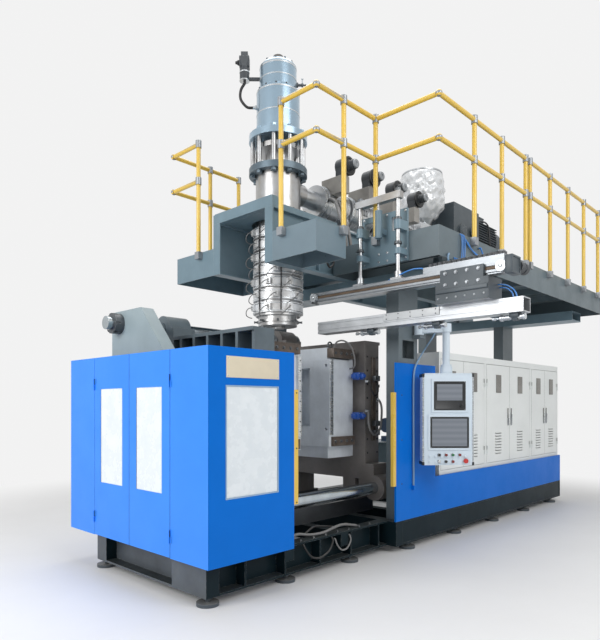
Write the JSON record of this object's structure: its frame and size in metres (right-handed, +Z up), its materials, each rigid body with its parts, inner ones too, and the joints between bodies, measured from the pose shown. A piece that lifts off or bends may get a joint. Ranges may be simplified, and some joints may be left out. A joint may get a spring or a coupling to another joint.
{
  "type": "blow moulding machine",
  "caption": "Extrusion blow moulding machine with accumulator head, open clamp, overhead extruder on a railed platform, take-out unit and swinging operator panel.",
  "frame": {"origin": "on the floor under the front left levelling foot's centre", "axes": "+X along the clamp direction from the covered clamp end to the motor end, +Y from the operator side to the far side, +Z up"},
  "size_m": [6.2743, 3.3399, 4.747],
  "materials": {
    "black_paint": "satin",
    "foot_paint": "satin",
    "dark_steel": "oiled",
    "cover_blue": "gloss",
    "pane": "frosted",
    "safety_yellow": "gloss",
    "cabinet_grey": "textured",
    "frame_grey": "satin",
    "platform_grey": "satin",
    "motor_blue": "satin",
    "clamp_grey": "satin",
    "clamp_brown": "worn",
    "bar_chrome": "hard chromed",
    "mould_steel": "machined",
    "head_steel": "machined",
    "band_steel": "mill",
    "cylinder_blue": "metallic gloss",
    "shroud_steel": "brushed",
    "blower_grey": "painted",
    "wrap_film": "crumpled film",
    "gear_grey": "satin",
    "beam_aluminium": "anodised",
    "panel_grey": "powder coated",
    "button_red": "gloss",
    "cable_blue": "satin",
    "hose_blue": "gloss"
  },
  "bodies": {
    "base": {"base_frame": "black_paint", "levelling_feet": "foot_paint", "bed_rails": "dark_steel", "cover_near": "cover_blue", "cover_far": "cover_blue", "cover_window": "pane", "right_cover": "cover_blue", "guard_strips": "safety_yellow", "cabinet_shells": "cabinet_grey", "columns": "frame_grey", "oil_tank": "frame_grey", "pump_motor": "motor_blue", "platform_beams": "frame_grey", "walkway_near": "platform_grey", "walkway_far": "platform_grey", "gallery": "platform_grey", "railing_near": "safety_yellow", "railing_far": "safety_yellow", "railing_gallery": "safety_yellow", "head_carrier": "frame_grey", "head_barrel": "head_steel", "heater_bands": "band_steel", "head_columns": "head_steel", "push_cylinder": "cylinder_blue", "extruder_barrel": "shroud_steel", "barrel_blowers": "blower_grey", "hopper": "shroud_steel", "hopper_wrap": "wrap_film", "gearbox": "gear_grey", "extruder_motor": "gear_grey", "lift_guides": "frame_grey", "panel_cable": "cable_blue", "air_hose": "hose_blue"},
    "near_door": {"door_near": "cover_blue", "door_window_near": "pane"},
    "far_door": {"door_far": "cover_blue", "door_window_far": "pane"},
    "cabinet_leaf_1": {"cabinet_door_1": "cabinet_grey"},
    "cabinet_leaf_2": {"cabinet_door_2": "cabinet_grey"},
    "cabinet_leaf_3": {"cabinet_door_3": "cabinet_grey"},
    "cabinet_leaf_4": {"cabinet_door_4": "cabinet_grey"},
    "cabinet_leaf_5": {"cabinet_door_5": "cabinet_grey"},
    "cabinet_leaf_6": {"cabinet_door_6": "cabinet_grey"},
    "clamp_draw": {"yoke": "clamp_grey", "tie_bars": "bar_chrome", "tie_bar_nuts": "dark_steel", "clamp_cylinder": "dark_steel", "platen_right": "clamp_brown", "mould_right": "mould_steel"},
    "clamp_press": {"platen_left": "clamp_grey", "mould_left": "mould_steel", "clamp_rod": "bar_chrome"},
    "plunger": {"plunger_ring": "head_steel"},
    "core_pin": {"die_pin": "head_steel"},
    "lift": {"lift_frame": "head_steel", "take_out_beam": "beam_aluminium"},
    "carriage": {"take_out_carriage": "beam_aluminium"},
    "boom": {"panel_arm": "panel_grey"},
    "panel": {"panel_case": "panel_grey"},
    "stop": {"stop_button": "button_red"}
  },
  "joints": [
    {"name": "near_door_hinge", "type": "hinge", "parent": "base", "child": "near_door", "pos_m": [-0.1223, 0.279, 1], "axis": [0, 0, 1], "range_deg": [0, 110]},
    {"name": "far_door_hinge", "type": "hinge", "parent": "base", "child": "far_door", "pos_m": [-0.1223, 1.377, 1], "axis": [0, 0, -1], "range_deg": [0, 110]},
    {"name": "cabinet_hinge_1", "type": "hinge", "parent": "base", "child": "cabinet_leaf_1", "pos_m": [2.877, -0.1283, 1.2], "axis": [0, 0, -1], "range_deg": [0, 110]},
    {"name": "cabinet_hinge_2", "type": "hinge", "parent": "base", "child": "cabinet_leaf_2", "pos_m": [3.849, -0.1283, 1.2], "axis": [0, 0, 1], "range_deg": [0, 90]},
    {"name": "cabinet_hinge_3", "type": "hinge", "parent": "base", "child": "cabinet_leaf_3", "pos_m": [3.913, -0.1283, 1.2], "axis": [0, 0, -1], "range_deg": [0, 90]},
    {"name": "cabinet_hinge_4", "type": "hinge", "parent": "base", "child": "cabinet_leaf_4", "pos_m": [5.147, -0.1283, 1.2], "axis": [0, 0, 1], "range_deg": [0, 90]},
    {"name": "cabinet_hinge_5", "type": "hinge", "parent": "base", "child": "cabinet_leaf_5", "pos_m": [5.211, -0.1283, 1.2], "axis": [0, 0, -1], "range_deg": [0, 90]},
    {"name": "cabinet_hinge_6", "type": "hinge", "parent": "base", "child": "cabinet_leaf_6", "pos_m": [6.113, -0.1283, 1.2], "axis": [0, 0, 1], "range_deg": [0, 110]},
    {"name": "clamp_draw_slide", "type": "slide", "parent": "base", "child": "clamp_draw", "axis": [-1, 0, 0], "range_m": [0, 0.19]},
    {"name": "clamp_press_slide", "type": "slide", "parent": "base", "child": "clamp_press", "axis": [1, 0, 0], "range_m": [0, 0.19]},
    {"name": "plunger_slide", "type": "slide", "parent": "base", "child": "plunger", "axis": [0, 0, -1], "range_m": [0, 0.12]},
    {"name": "core_pin_slide", "type": "slide", "parent": "base", "child": "core_pin", "axis": [0, 0, -1], "range_m": [0, 0.04]},
    {"name": "lift_slide", "type": "slide", "parent": "base", "child": "lift", "axis": [0, 0, 1], "range_m": [0, 0.12]},
    {"name": "take_out_slide", "type": "slide", "parent": "lift", "child": "carriage", "axis": [0, 1, 0], "range_m": [0, 0.45]},
    {"name": "boom_hinge", "type": "hinge", "parent": "base", "child": "boom", "pos_m": [2.365, -0.185, 2.085], "axis": [0, 0, 1], "range_deg": [-45, 3]},
    {"name": "panel_hinge", "type": "hinge", "parent": "boom", "child": "panel", "pos_m": [2.485, -0.405, 1.2], "axis": [0, 0, 1], "range_deg": [-40, 30]},
    {"name": "stop_press", "type": "slide", "parent": "panel", "child": "stop", "axis": [0.7193, 0.6947, 0], "range_m": [0, 0.005], "stiffness_N_per_m": 600, "springref_m": -0.004}
  ],
  "couplings": [
    {"joint": "clamp_press_slide", "follows": "clamp_draw_slide", "ratio": 1}
  ]
}
